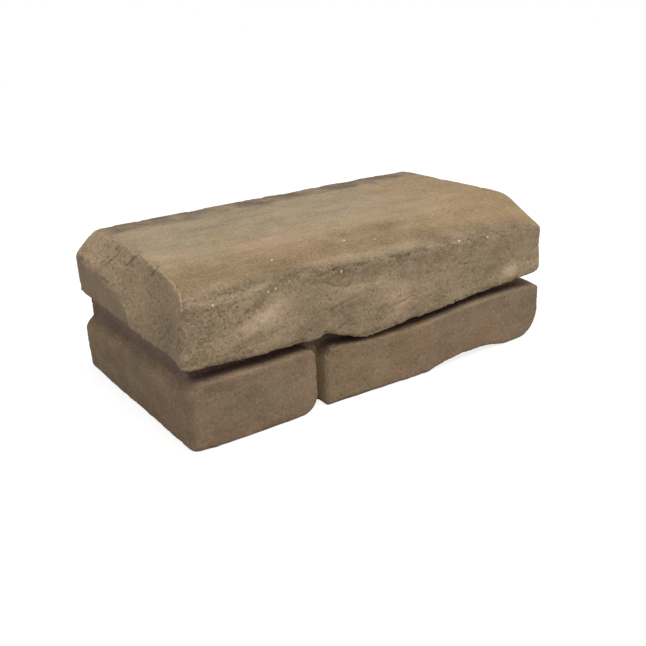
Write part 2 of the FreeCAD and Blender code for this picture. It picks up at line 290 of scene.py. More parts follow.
def blotch(points, middle, reach):
    """1 at the middle of an oval patch, fading with distance."""
    return np.exp(-np.sum(((points - middle) / reach) ** 2, axis=1))


def weighted(fields, strengths):
    """Sum of the named fields, each times its strength."""
    return sum(strength * fields[name] for name, strength in strengths.items())


def varied(strength, values):
    """A strength, given as its mean and its spread, that follows the values."""
    mean, spread = strength
    return mean + spread * values


# Stone mesh

class Surface:
    """A mesh's points and normals, in millimetres, and means over each point's neighbours."""

    def __init__(self, mesh):
        self.mesh = mesh
        self.points = self.read(mesh.vertices, "co", 3, np.float32).astype(float) / MM
        self.normals = self.read(mesh.vertices, "normal", 3, np.float32).astype(float)
        self.edges = self.read(mesh.edges, "vertices", 2, np.int32)
        self.degree = np.bincount(self.edges.ravel(), minlength=len(self.points))

    @staticmethod
    def read(items, name, width, kind):
        values = np.empty(len(items) * width, kind)
        items.foreach_get(name, values)
        return values.reshape(-1, width)

    def edge_sum(self, at_first, at_second):
        """At every point, the sum over its edges of what each edge gives its first or second end."""
        first, second = self.edges.T
        count = len(self.points)
        return np.bincount(first, at_first, count) + np.bincount(second, at_second, count)

    def neighbour_mean(self, values):
        first, second = self.edges.T
        sums = [self.edge_sum(column[second], column[first]) for column in values.T]
        return np.stack(sums, axis=1) / self.degree[:, None]

    def smoothed(self, values, rounds):
        for _ in range(rounds):
            values = (values + self.neighbour_mean(values)) / 2
        return values

    def bend(self, rounds):
        """Smoothed turn of the surface per millimetre: above 0 on an arris, below 0 in a groove."""
        first, second = self.edges.T
        run = self.points[second] - self.points[first]
        turn = self.normals[second] - self.normals[first]
        rate = np.einsum("ij,ij->i", run, turn) / np.einsum("ij,ij->i", run, run)
        mean = self.edge_sum(rate, rate) / self.degree
        return self.smoothed(mean[:, None], rounds)[:, 0]

    def store(self):
        self.mesh.vertices.foreach_set("co", (self.points * MM).astype(np.float32).ravel())
        self.mesh.update()


def modified_mesh(mesh, kind, **settings):
    """A new mesh: the given one after one modifier."""
    carrier = bpy.data.objects.new("carrier", mesh)
    bpy.context.scene.collection.objects.link(carrier)
    modifier = carrier.modifiers.new(kind.lower(), kind)
    for name, value in settings.items():
        setattr(modifier, name, value)
    bpy.context.view_layer.update()
    evaluated = carrier.evaluated_get(bpy.context.evaluated_depsgraph_get())
    result = bpy.data.meshes.new_from_object(evaluated)
    bpy.data.objects.remove(carrier)
    return result


def joint_level(x):
    """Level of the bed joint's middle."""
    return np.interp(x, JOINT_PLACES, JOINT_LEVELS)


def front_edge_level(x):
    """Level of the long stone's front top edge."""
    return np.interp(x, EDGE_PLACES, EDGE_LEVELS)


def zones(surface):
    """Shares, 0 to 1, of each kind of face at every point."""
    points = surface.points
    x, y, z = points.T
    outward = unit(surface.smoothed(surface.normals, ZONE_ROUNDS))
    over = z - joint_level(x)
    above = step(over, *ABOVE_JOINT)
    depth = np.minimum.reduce([y - FRONT, x - LEFT, RIGHT - x])
    inside = step(BACK - y, *BACK_MARGIN)
    bed_joint = (step(over, *JOINT_FLOOR) * fall(over, *JOINT_CEILING)
                 * step(depth, *JOINT_MOUTH) * inside)
    upright_joint = (fall(np.abs(x - UPRIGHT_MIDDLE), *UPRIGHT_HALF) * (1 - above)
                     * step(depth, *UPRIGHT_MOUTH) * inside)
    joint = np.maximum(bed_joint, upright_joint * step(z, *FOOT))
    leftward = step(-outward[:, 0], *LEFTWARD) * (1 - joint)
    wander = FACET_WANDER * noise("wander", points)
    over_border = step(z - np.interp(y, FACET_PLACES, FACET_LEVELS) + wander, *FACET_BORDER)
    facet = leftward * above * np.maximum(over_border, fall(y + wander, *FACET_FRONT))
    up = step(outward[:, 2], *UPWARD) * above * (1 - joint) * (1 - facet)
    under = step(-outward[:, 2], *DOWNWARD) * fall(z, *FOOT)
    rear = step(outward[:, 1], *REARWARD)
    side = np.clip(1 - up - under - rear - joint, 0, 1)
    return {
        "above": above,
        "bed_joint": bed_joint,
        "upright_joint": upright_joint,
        "joint": joint,
        "up": up,
        "under": under,
        "rear": rear,
        "leftward": leftward,
        "facet": facet,
        "end": leftward * above * (1 - facet),
        "split": side * above * (1 - leftward),
        "dressed": side * (1 - above),
    }


def soft_edges(surface):
    """1 along the long stone's edges that weather has rounded: its front top edge and facets' rims."""
    x, y, z = surface.points.T
    over_joint = step(z - joint_level(x), *SOFT_OVER_JOINT)
    near_left = SOFT_LEFT_SHARE * fall(x - LEFT, *SOFT_FROM_LEFT)
    near_edge = step(z - front_edge_level(x), *SOFT_UNDER_EDGE)
    near_front = near_edge * fall(y - FRONT, *SOFT_FROM_FACE)
    near_corner = near_edge * step(x - CORNER_FACET_PLACE, *SOFT_AT_CORNER)
    return over_joint * np.maximum.reduce([near_left, near_front, near_corner])


def front_left_corner(points):
    """The points moved so that the long stone's front-left edge is sharp, and rolls off at the top."""
    x, y, z = points.T
    over_joint = step(z - joint_level(x), *CORNER_OVER_JOINT)
    reach = over_joint * np.interp(z, CORNER_LEVELS, CORNER_REACHES)
    setback = SETBACK_SHARE * reach
    moved = points.copy()
    moved[:, 0] -= reach * fall(x - LEFT, *CORNER_FADE) * bell(y - FRONT, CORNER_DEPTH)
    moved[:, 1] += setback * fall(x - LEFT, *SETBACK_FADE) * bell(y - FRONT, SETBACK_DEPTH)
    over_slope = np.clip((moved - ROLL_PLACE) @ ROLL_OUTWARD, 0, None)
    cut = over_slope * over_joint * fall(x - LEFT, *ROLL_FADE)
    return moved - cut[:, None] * ROLL_OUTWARD


def slanting(points):
    """The points turned so that layers through them climb steeply to the right."""
    along = points[:, 0] * math.cos(SWALE_RISE) + points[:, 2] * math.sin(SWALE_RISE)
    across = points[:, 2] * math.cos(SWALE_RISE) - points[:, 0] * math.sin(SWALE_RISE)
    return np.stack([along, points[:, 1], across], axis=1)


def slanting_scoops(points):
    """Ridges and scoops that climb to the right, in the left part of the long stone's face."""
    return noise("scoops", slanting(points)) * blotch(points, *SCOOP_PATCH)


def bedding(points):
    """The points shifted so that level layers through them run wavy and rise to the right."""
    waves = noise("bedding", points)[:, None] * (0, 0, BEDDING_WAVE)
    return points + waves + points[:, :1] * (0, 0, -BEDDING_RISE)


def grooves(points):
    """1 in the middle of the broken scratches that run down the facet and back."""
    y, z = points[:, 1], points[:, 2]
    wander = GROOVE_WANDER * noise("groove wander", points)
    total = 0
    for start, lean, low in FACET_GROOVES:
        across = y - start - lean * (TOP - z) + wander
        total = total + bell(across, GROOVE_WIDTH) * step(z, low - GROOVE_END, low + GROOVE_END)
    return np.clip(total, 0, 1) * step(noise("groove breaks", points), *UNBROKEN)


def facet_lip(points, offset=0):
    """1 along the thin lip of the facet's border, or that far behind it."""
    x, y, z = points.T
    across = y - np.interp(z, LIP_LEVELS, LIP_PLACES) - offset
    ends = step(z, *LIP_FOOT) * fall(z, *LIP_HEAD) * fall(x - LEFT, *LIP_FROM_LEFT)
    return bell(across, LIP_WIDTH) * ends


def unevenness(points):
    """The kinds of unevenness that the faces share, by name, each about -1 to 1 or 0 to 1."""
    bedded = bedding(points)
    sheared = points + points[:, 2:] * (0, RAKE_LEAN, 0)
    creased = step(noise("creased parts", points), *CREASED_PARTS)
    raked = step(noise("raked parts", points), *RAKED_PARTS)
    return {
        "all": 1,
        "swales": noise("swales", bedded),
        "scoops": slanting_scoops(points),
        "swell": noise("swell", points),
        "lumps": noise("lumps", points),
        "grains": noise("grains", points),
        "pits": step(noise("pits", points), *PITTED),
        "creases": step(crests("creases", bedded), *CREASED) * creased,
        "rakes": step(crests("rakes", sheared), *RAKED) * raked,
        "grooves": grooves(points),
    }


def arris_wear(surface, above):
    """How much the arrises have lost: chips all along them, nibbles over the bed joint."""
    points = surface.points
    x, _, z = points.T
    arris = np.clip(surface.bend(ARRIS_ROUNDS) / ARRIS_BEND, 0, 1)
    chips = step(noise("chips", points), *CHIPPED)
    nibbles = step(noise("nibbles", points), *CHIPPED) * fall(z - joint_level(x), *NIBBLED_OVER_JOINT)
    long_stone = above * (LONG_STONE_CHIPS * chips + LONG_STONE_NIBBLES * nibbles)
    return arris * (ARRIS_LOSS + long_stone + (1 - above) * SHORT_STONE_CHIPS * chips)


def relief(surface, zone):
    """How far each point moves out along its normal, in millimetres."""
    points = surface.points
    fields = unevenness(points)
    level = weighted(fields, LEVEL_RELIEF)
    worn_corner = blotch(points, *WORN_CORNER_PATCH) * weighted(fields, WORN_CORNER_LOSS)
    height = zone["split"] * weighted(fields, SPLIT_RELIEF)
    height += zone["facet"] * weighted(fields, FACET_RELIEF)
    height += zone["dressed"] * (weighted(fields, DRESSED_RELIEF) - worn_corner)
    height += (zone["up"] + zone["end"]) * level
    height += zone["joint"] * weighted(fields, JOINT_RELIEF)
    height += REAR_SHARE * zone["rear"] * level
    height += LIP_HEIGHT * facet_lip(points) - HOLLOW_DEPTH * facet_lip(points, HOLLOW_OFFSET)
    return height - arris_wear(surface, zone["above"]) * (1 - zone["under"]) * (1 - zone["rear"])


def stone_mesh():
    """The block's own solid with the relief of its faces and its colour zones."""
    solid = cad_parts[NODE].data.copy()
    mesh = modified_mesh(solid, "REMESH", mode="VOXEL", voxel_size=CELL * MM)
    surface = Surface(mesh)
    surface.points = surface.smoothed(surface.points, POINT_ROUNDS)
    zone = zones(surface)
    soft = soft_edges(surface)[:, None]
    surface.points = front_left_corner(surface.points)
    surface.points += soft * (surface.smoothed(surface.points, SOFT_ROUNDS) - surface.points)
    flat_points = surface.points.copy()
    outward = unit(surface.smoothed(surface.normals, NORMAL_ROUNDS))
    surface.points += outward * relief(surface, zone)[:, None]
    surface.points[:, 2] = np.maximum(surface.points[:, 2], BED)
    surface.store()
    WeatheringAndPaintedLight(flat_points, zone, Surface(mesh).bend(BEND_ROUNDS)).store(mesh)
    count = sum(len(face.vertices) - 2 for face in mesh.polygons)
    return modified_mesh(mesh, "DECIMATE", ratio=min(1, TRIANGLES / count))


# Colour zones, stored on the mesh

# Damp that climbs the back: its greatest share, how far it wanders and where it ends
DAMP_SHARE = 0.75
DAMP_WANDER = 25
DAMP_LEVELS = (-10, 120)
# Bands of the top, counted from the fold at its front edge or across the block, and how far they wander
CROWN_START = (4, 22)
CROWN_START_WANDER = 8
CROWN_END = (42, 85)
CROWN_END_WANDER = 14
GREY_START = (-45, 5)
GREY_WANDER = 25
BACK_STRIP_START = (82, 103)
BACK_STRIP_WANDER = 8
SMEAR_START = (-40, 40)
# Right end of the top, which is ochre: its start along the block and its end across it
RIGHT_END_START = (70, 190)
RIGHT_END_WANDER = 30
RIGHT_END_BACK = (70, 100)
RIGHT_END_BACK_WANDER = 14
# Dark band along the front edge: its middle behind the fold, its width at the block's ends, how far it
# wanders, and its strength along the block
BAND_MIDDLE = 1
BAND_WIDTHS = (9, 15)
BAND_WANDER = 6
BAND_PLACES = (LEFT, -100, CORNER_FACET_PLACE - 25, CORNER_FACET_PLACE + 10)
BAND_STRENGTHS = (0.55, 0.85, 1, 0.25)
# Light of the face along the block, and what else lightens or darkens it and the lower stones
FACE_LIGHT_PLACES = (-120, -20, 100)
FACE_LIGHTS = (0.02, -0.05, 0.07)
FACE_SHADE = {"light": 1, "streaks": 0.14, "scoops": 0.15, "bloom": 0.16, "patches": 0.25}
# Painted shade: leftward darkens the lower stones' left-facing ends
LOWER_SHADE = {"clouds": 0.1, "warm stone": 0.07, "leftward": -0.06, "shoulder painted shade": -0.08}
# Painted shade on the lower stones' strip under the bed joint, rising between these levels
SHADED_SHOULDER_LEVELS = (50, 58)
# Painted contact shadow: a dark line where the block meets the floor
FOOT_SHADOW_LEVELS = (0.5, 3.5)
# End of the joint's painted shade and dirt near the right end, where the joint opens to the light
OPEN_JOINT = (RIGHT - 70, RIGHT - 15)
# Turn per millimetre that counts as a full hollow, for its painted shade, or a full arris, for its wear
# and painted highlight
HOLLOW_BEND = 0.12
WORN_BEND = 0.2
# What lightens or darkens other spots: painted light in the upright joint, painted shade on the end and
# foot
OTHER_SHADE = {"drawn top": 0.1, "upright joint painted light": 0.25, "facet": -0.22, "end": -0.07,
               "back strip": -0.09, "foot": -0.35}
# Strengths that follow a noise: mean and spread
BACK_STRIP_STRENGTH = (0.75, 0.6)
CROWN_STRENGTH = (0.9, 0.2)
GREY_STRENGTH = (0.55, 0.6)
BAND_STRENGTH = (0.8, 0.35)
PALE_PATCH_STRENGTH = (0.9, 0.5)
FACET_PALENESS = (0.35, 0.25)
# Shares of a colour in the places that have it, and what it loses in others
OCHRE_SHARES = {"right end": 0.8, "warm stone": 0.5}
RUST_LOSS_AT_RIGHT = 0.75
DULL_SHARES = {"corner": 1, "foot": 0.6, "spots": 0.5}
STAIN_SHARES = {"band": 1, "dull face": 0.45, "back strip": 0.95, "smears": 0.4}
BAND_LOSS_IN_BLOOM = 0.6
SCRATCH_STAIN = 0.6
PALE_SPOT_SHARE = 0.35
BLOOM_STRENGTH = {"all": 0.8, "patchy": 0.6, "scoops": 0.8}
LIP_PALENESS = 0.5
JOINT_LOSS_IN_OPEN = 0.7
HOLLOW_START = 0.2
# Strength of the sand grain by place, where it is coarse, and its limits
GRAIN_SHARES = {"all": 0.8, "coarse": 1, "facet": 0.2, "up": -0.1, "lower": -0.25, "end": -0.55}
COARSE_SHARES = {"parts": 0.2, "patch": 0.35}
GRAIN_LIMITS = (0.2, 1.4)


class WeatheringAndPaintedLight:
    """How strong each colour, painted light and shade included, is at every point; bend is the turn of
    the finished surface there.
    """

    def __init__(self, points, zone, bend):
        self.points = points
        self.x, self.y, self.z = points.T
        self.zone = zone
        self.bend = bend
        self.drift = noise("drift", points)
        self.patchy = noise("patches", points)
        self.drawn = noise("drawn", points)
        self.scoops = slanting_scoops(points)
        self.fold = (self.y - FRONT) + np.minimum(self.z - front_edge_level(self.x), 0)
        self.bloom = blotch(points, *BLOOM_PATCH)
        self.pale_patches = self.patches()
        self.warm_stone = blotch(points, *WARM_STONE_PATCH)
        self.lower = self.lower_stones()
        self.right_end = self.right_end_of_top()
        self.back_strip = self.back_strip_of_top()

    def patches(self):
        """The pale patches in the face."""
        total = 0
        for along, level, width, rise, strength in PALE_PATCHES:
            middle = (along, PALE_PLACE, level)
            total = total + strength * blotch(self.points, middle, (width, PALE_DEPTH, rise))
        return total

    def lower_stones(self):
        """The lower stones, and the damp foot of the back."""
        damp = DAMP_SHARE * fall(self.z + DAMP_WANDER * self.drift, *DAMP_LEVELS)
        rear = self.zone["rear"]
        return (1 - self.zone["above"]) * (1 - rear) + rear * damp

    def right_end_of_top(self):
        """The right end of the top, up to its dark back strip."""
        start = step(self.x + RIGHT_END_WANDER * self.drift, *RIGHT_END_START)
        return start * fall(self.y + RIGHT_END_BACK_WANDER * self.drift, *RIGHT_END_BACK)

    def back_strip_of_top(self):
        """The dark strip along the back of the top."""
        start = step(self.y + BACK_STRIP_WANDER * self.drift, *BACK_STRIP_START)
        return self.zone["up"] * start * np.clip(varied(BACK_STRIP_STRENGTH, self.patchy), 0, 1)

    def ochre(self):
        """The right end of the top, and the warm part of the right stone."""
        places = {
            "right end": self.zone["up"] * self.right_end,
            "warm stone": self.lower * self.warm_stone,
        }
        return np.clip(weighted(places, OCHRE_SHARES), 0, 1)

    def rust(self):
        """The crown behind the front edge."""
        start = step(self.fold + CROWN_START_WANDER * self.drift, *CROWN_START)
        crown = start * fall(self.fold + CROWN_END_WANDER * self.drift, *CROWN_END)
        strength = np.clip(crown * varied(CROWN_STRENGTH, self.patchy), 0, 1)
        return self.zone["up"] * strength * (1 - RUST_LOSS_AT_RIGHT * self.right_end)

    def grey_and_painted_joint_light(self):
        """The top behind the crown, drawn out along the block, and painted light in the upright joint."""
        start = step(self.y + GREY_WANDER * self.drift, *GREY_START)
        strength = np.clip(varied(GREY_STRENGTH, self.drawn), 0, 1)
        top = self.zone["up"] * start * (1 - self.right_end) * strength
        # Painted light: the grey makes the upright joint lighter and less red
        return np.clip(top + self.zone["upright_joint"], 0, 1)

    def edge_band(self):
        """The dark band along the front edge."""
        width = np.interp(self.x, (LEFT, RIGHT), BAND_WIDTHS)
        band = bell(self.fold - BAND_MIDDLE - BAND_WANDER * self.drift, width)
        band *= np.clip(varied(BAND_STRENGTH, self.patchy), 0, 1)
        return band * np.interp(self.x, BAND_PLACES, BAND_STRENGTHS)

    def dull_face(self):
        """The dull corner and foot of the face, and dull spots all over it."""
        places = {
            "corner": blotch(self.points, *DULL_CORNER_PATCH),
            "foot": blotch(self.points, *DULL_FOOT_PATCH),
            "spots": step(self.patchy, *DULL_SPOTS),
        }
        return self.zone["split"] * np.clip(weighted(places, DULL_SHARES), 0, 1)

    def stain(self):
        """Dark weathering of the front edge, the face, the top's back strip and the facet's scratches."""
        top = self.zone["up"]
        places = {
            "band": self.edge_band() * (self.zone["split"] + top) * (1 - BAND_LOSS_IN_BLOOM * self.bloom),
            "dull face": self.dull_face() * (1 - self.bloom),
            "back strip": self.back_strip,
            "smears": top * step(self.drawn, *SMEARED) * step(self.y, *SMEAR_START),
        }
        scratches = SCRATCH_STAIN * self.zone["facet"] * grooves(self.points)
        return np.maximum(np.clip(weighted(places, STAIN_SHARES), 0, 1), scratches)

    def pale(self):
        """Bloom and pale patches of the face, and the fresher facet with its lip."""
        fields = {"all": 1, "patchy": self.patchy, "scoops": self.scoops}
        face = PALE_SPOT_SHARE * step(-self.patchy, *PALE_SPOTS) + self.bloom
        face = face * weighted(fields, BLOOM_STRENGTH)
        face = face + self.pale_patches * varied(PALE_PATCH_STRENGTH, self.patchy)
        facet = self.zone["facet"] * varied(FACET_PALENESS, self.patchy)
        lip = LIP_PALENESS * facet_lip(self.points)
        return np.clip(self.zone["split"] * np.clip(face, 0, 1) + facet + lip, 0, 1)

    def shade(self):
        """What lightens a spot, above 0, or darkens it, below 0: tone, painted light in the upright
        joint, and painted shade on left-facing ends, under the bed joint and at the foot.
        """
        fields = {
            "light": np.interp(self.x, FACE_LIGHT_PLACES, FACE_LIGHTS),
            "streaks": noise("streaks", bedding(self.points)),
            "scoops": self.scoops,
            "bloom": self.bloom,
            "patches": self.pale_patches,
            "clouds": noise("clouds", self.points),
            "warm stone": self.warm_stone,
            # Painted shade on the lower stones' left-facing ends
            "leftward": self.zone["leftward"],
            # Painted shade under the bed joint
            "shoulder painted shade": step(self.z, *SHADED_SHOULDER_LEVELS),
            "drawn top": self.zone["up"] * self.drawn,
            # Painted light in the upright joint
            "upright joint painted light": self.zone["upright_joint"],
            "facet": self.zone["facet"] * blotch(self.points, *SHADED_FACET_PATCH),
            # Painted shade on the long stone's left-facing end
            "end": self.zone["end"],
            "back strip": self.back_strip,
            # Painted contact shadow at the foot
            "foot": fall(self.z, *FOOT_SHADOW_LEVELS),
        }
        face = self.zone["split"] * weighted(fields, FACE_SHADE)
        return face + self.lower * weighted(fields, LOWER_SHADE) + weighted(fields, OTHER_SHADE)

    def grain(self):
        """Strength of the sand grain: most on the split face, least on the smooth end."""
        coarse = {
            "parts": step(noise("coarse parts", self.points), *COARSE),
            "patch": blotch(self.points, *COARSE_PATCH),
        }
        places = {
            "all": 1,
            "coarse": self.zone["split"] * weighted(coarse, COARSE_SHARES),
            "facet": self.zone["facet"],
            "up": self.zone["up"],
            "lower": self.lower,
            "end": self.zone["end"],
        }
        return np.clip(weighted(places, GRAIN_SHARES), *GRAIN_LIMITS)

    def joint(self):
        """Painted shade and dirt inside the bed joint."""
        return self.zone["bed_joint"] * (1 - JOINT_LOSS_IN_OPEN * step(self.x, *OPEN_JOINT))

    def hollow_shade(self):
        """Painted shade in hollows and grooves outside the joints."""
        return np.clip(-self.bend / HOLLOW_BEND - HOLLOW_START, 0, 1) * (1 - self.zone["joint"])

    def worn_and_highlit(self):
        """Wear and a painted highlight on the arrises."""
        return np.clip(self.bend / WORN_BEND, 0, 1)

    def store(self, mesh):
        """Keeps every strength on the mesh, in a layer of its own."""
        layers = {
            "lower": self.lower,
            "ochre": self.ochre(),
            "rust": self.rust(),
            "grey_and_painted_joint_light": self.grey_and_painted_joint_light(),
            "stain": self.stain(),
            "pale": self.pale(),
            "joint": self.joint(),
            "hollow_shade": self.hollow_shade(),
            "worn_and_highlit": self.worn_and_highlit(),
            "shade": self.shade(),
            "grain": self.grain(),
        }
        for name, strengths in layers.items():
            layer = mesh.attributes.new(name, "FLOAT", "POINT")
            layer.data.foreach_set("value", strengths.astype(np.float32))


# Concrete

def colour(red, green, blue):
    """Linear colour of screen values from 0 to 255."""
    def linear(value):
        share = value / 255
        return share / 12.92 if share <= 0.04045 else ((share + 0.055) / 1.055) ** 2.4
    return (linear(red), linear(green), linear(blue), 1)


OLIVE_TAN = colour(172, 152, 120)
ROSE_TAN = colour(178, 152, 123)
OCHRE = colour(166, 139, 105)
RUST = colour(150, 126, 95)
# Lighter colour of the arrises: wear and a painted highlight
WORN_AND_HIGHLIT = colour(160, 146, 121)
GREY = colour(165, 149, 124)
STAIN = colour(120, 103, 86)
PALE = colour(205, 178, 147)
WHITE = colour(238, 226, 204)
OLIVE_LOWER = colour(153, 133, 107)
ROSE_LOWER = colour(161, 133, 107)
# Dark colour of the bed joint: painted shade and dirt
JOINT_SHADE_AND_DIRT = colour(129, 107, 95)
# Painted shade for hollows and grooves
HOLLOW_SHADE = colour(112, 95, 76)
# Colours laid over the base, in this order: the mesh's layer, the colour and its greatest share
COATS = (
    # Grey of the top, and painted light in the upright joint
    ("grey_and_painted_joint_light", GREY, 1.0),
    ("ochre", OCHRE, 1.0),
    ("rust", RUST, 1.0),
    ("pale", PALE, 0.8),
    ("stain", STAIN, 0.9),
    # Painted shade and dirt in the bed joint
    ("joint", JOINT_SHADE_AND_DIRT, 1.0),
    # Painted shade in hollows and grooves
    ("hollow_shade", HOLLOW_SHADE, 0.5),
    # Wear and a painted highlight on the arrises
    ("worn_and_highlit", WORN_AND_HIGHLIT, 0.12),
)

# Lump sizes of the colour drift, the mottling and the sand, in millimetres
DRIFT_SIZE = 55
DRIFT_RANGE = (0.32, 0.68)
MOTTLE_SIZE = 30
MOTTLE_STRENGTH = 0.45
SAND_SIZE = 2.8
FINE_SIZE = 1.3
# Sand speckle, and what one unit of it adds to the linear colour
SPECKLE_STRENGTH = 1.75
SPECKLE = (0.25, 0.21, 0.17)
# Coarse grains: spacing, and where a grain ends and begins in its cell
GRAIN_SPACING = 3.4
GRAIN_RIM = (0.42, 0.25)
# Kinds of coarse grain: which part of the cells' random values has it, the colour and its share
LIGHT_GRAINS = ((0.9, 0.93), PALE, 0.4)
WHITE_GRAINS = ((0.997, 0.998), WHITE, 0.6)
DARK_GRAINS = ((0.09, 0.07), STAIN, 0.5)
# Pebbles are flat against their face; their rim, in radii, and how much of the stone they cover
FACE_FLATNESS = (1, 0.2, 1)
TOP_FLATNESS = (1, 1, 0.05)
TOP_PEBBLE_LEVEL = TOP - 5
PEBBLE_RIM = (2, 1.2)
PEBBLE_SHARE = 0.85
# Skin: heights of sand, fine sand and the pits of dark grains, the bump's reach, roughness and gloss
SAND_HEIGHT = 0.6
FINE_HEIGHT = 0.5
DARK_GRAIN_HEIGHT = -0.25
BUMP_STRENGTH = 0.8
BUMP_DISTANCE = 1.2
ROUGHNESS_RANGE = (-0.6, 1.2)
ROUGHNESS_LEAST = 0.82
ROUGHNESS_SPAN = 0.15
SPECULAR = 0.25


class Shader:
    """A material's nodes, each added and linked in one call."""

    def __init__(self, name):
        self.material = bpy.data.materials.new(name)
        self.material.use_nodes = True
        self.tree = self.material.node_tree
        self.tree.nodes.clear()

    def feed(self, socket, value):
        """Links another node's output to the socket, or sets a plain value on it."""
        if isinstance(value, bpy.types.NodeSocket):
            self.tree.links.new(value, socket)
        else:
            socket.default_value = value

    def add(self, kind, inputs=None, **settings):
        node = self.tree.nodes.new("ShaderNode" + kind)
        for name, value in settings.items():
            setattr(node, name, value)
        for name, value in (inputs or {}).items():
            self.feed(node.inputs[name], value)
        return node

    def attribute(self, name):
        return self.add("Attribute", attribute_name=name).outputs["Fac"]

    def math(self, operation, *values):
        return self.add("Math", dict(enumerate(values)), operation=operation).outputs[0]

    def vector(self, operation, *values):
        return self.add("VectorMath", dict(enumerate(values)), operation=operation)

    def noise(self, place, size, detail):
        """Noise from 0 to 1 with lumps of the given size in millimetres."""
        inputs = {"Vector": place, "Scale": 1 / (size * MM), "Detail": detail, "Roughness": 0.6}
        return self.add("TexNoise", inputs).outputs["Fac"]

    def ramp(self, value, low, high):
        """0 to 1 as the value goes from low to high."""
        inputs = {"Value": value, "From Min": low, "From Max": high}
        return self.add("MapRange", inputs, interpolation_type="SMOOTHSTEP").outputs["Result"]

    def mixed(self, share, first, second):
        """The first colour with that share of the second; a Mix node's colour sockets go by number."""
        node = self.add("Mix", {0: share, 6: first, 7: second}, data_type="RGBA")
        return node.outputs[2]


class Concrete(Shader):
    """Tan concrete: colour zones, mottling, sand, grains, pebbles and a rough skin."""

    def __init__(self):
        super().__init__("tan_concrete")
        self.place = self.add("TexCoord").outputs["Object"]
        self.strength = self.attribute("grain")
        self.sand = self.noise(self.place, SAND_SIZE, 3)
        self.fine = self.noise(self.place, FINE_SIZE, 2)
        self.cells = self.add("TexVoronoi", {"Vector": self.place, "Scale": 1 / (GRAIN_SPACING * MM)})
        bsdf = self.add("BsdfPrincipled", {
            "Base Color": self.pebbled(self.grained(self.sanded(self.zone_colour()))),
            "Roughness": self.roughness(),
            "Specular IOR Level": SPECULAR,
            "Normal": self.skin(),
        })
        self.add("OutputMaterial", {"Surface": bsdf.outputs["BSDF"]})

    def zone_colour(self):
        """The tan of the long stone and of the lower stones, with the coats over it."""
        drift = self.ramp(self.noise(self.place, DRIFT_SIZE, 1), *DRIFT_RANGE)
        long_stone = self.mixed(drift, OLIVE_TAN, ROSE_TAN)
        lower_stones = self.mixed(drift, OLIVE_LOWER, ROSE_LOWER)
        base = self.mixed(self.attribute("lower"), long_stone, lower_stones)
        for name, shade, most in COATS:
            base = self.mixed(self.math("MULTIPLY", self.attribute(name), most), base, shade)
        return base

    def sanded(self, base):
        """The colour with shade and mottling, and with sand speckle added to it."""
        mottle = self.math("SUBTRACT", self.noise(self.place, MOTTLE_SIZE, 2), 0.5)
        tone = self.math("MULTIPLY_ADD", mottle, MOTTLE_STRENGTH, 1.0)
        tone = self.math("ADD", tone, self.attribute("shade"))
        toned = self.add("VectorMath", {"Vector": base, "Scale": tone}, operation="SCALE")
        speckle = self.math("MULTIPLY", self.math("ADD", self.sand, self.fine), SPECKLE_STRENGTH)
        speckle = self.math("SUBTRACT", speckle, SPECKLE_STRENGTH)
        speckle = self.math("MULTIPLY", speckle, self.strength)
        return self.vector("MULTIPLY_ADD", speckle, SPECKLE, toned.outputs["Vector"]).outputs["Vector"]

    def grains(self, chances):
        """1 in the coarse grains whose random value lies in the given part."""
        value = self.add("SeparateColor", {"Color": self.cells.outputs["Color"]}).outputs["Red"]
        inside = self.ramp(self.cells.outputs["Distance"], *GRAIN_RIM)
        grain = self.math("MULTIPLY", inside, self.strength)
        return self.math("MULTIPLY", grain, self.ramp(value, *chances))

    def grained(self, base):
        """The colour with light, white and dark grains."""
        for chances, shade, most in (LIGHT_GRAINS, WHITE_GRAINS, DARK_GRAINS):
            base = self.mixed(self.math("MULTIPLY", self.grains(chances), most), base, shade)
        return base

    def pebbled(self, base):
        """The colour with the white pebbles, whose outline the fine sand roughens."""
        pebbles = [((along, FRONT, level), FACE_FLATNESS) for along, level in FACE_PEBBLES]
        pebbles += [((along, across, TOP_PEBBLE_LEVEL), TOP_FLATNESS) for along, across in TOP_PEBBLES]
        rim, core = (radii * PEBBLE_RADIUS * MM for radii in PEBBLE_RIM)
        for middle, flatness in pebbles:
            middle = tuple(value * MM for value in middle)
            offset = self.vector("SUBTRACT", self.place, middle).outputs["Vector"]
            flattened = self.vector("MULTIPLY", offset, flatness).outputs["Vector"]
            away = self.vector("LENGTH", flattened).outputs["Value"]
            away = self.math("MULTIPLY_ADD", self.fine, PEBBLE_RADIUS * MM, away)
            pebble = self.ramp(away, rim, core)
            base = self.mixed(self.math("MULTIPLY", pebble, PEBBLE_SHARE), base, WHITE)
        return base

    def skin(self):
        """Normals of the sandy skin, with pits at the dark grains."""
        height = self.math("MULTIPLY", self.fine, FINE_HEIGHT)
        height = self.math("MULTIPLY_ADD", self.sand, SAND_HEIGHT, height)
        dark_grains = self.grains(DARK_GRAINS[0])
        height = self.math("MULTIPLY_ADD", dark_grains, DARK_GRAIN_HEIGHT, height)
        height = self.math("MULTIPLY", height, self.strength)
        inputs = {"Strength": BUMP_STRENGTH, "Distance": BUMP_DISTANCE * MM, "Height": height}
        return self.add("Bump", inputs).outputs["Normal"]

    def roughness(self):
        """Roughness that varies with the fine sand."""
        spread = self.ramp(self.fine, *ROUGHNESS_RANGE)
        return self.math("MULTIPLY_ADD", spread, ROUGHNESS_SPAN, ROUGHNESS_LEAST)


def wall_block():
    """The block's visible piece, which stands for its solid."""
    mesh = stone_mesh()
    mesh.name = "split_stone_block"
    mesh.materials.clear()
    mesh.materials.append(Concrete().material)
    mesh.shade_smooth()
    block = bpy.data.objects.new("split_stone_block", mesh)
    bpy.context.scene.collection.objects.link(block)
    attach(block, "root")
    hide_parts(NODE)


# Studio

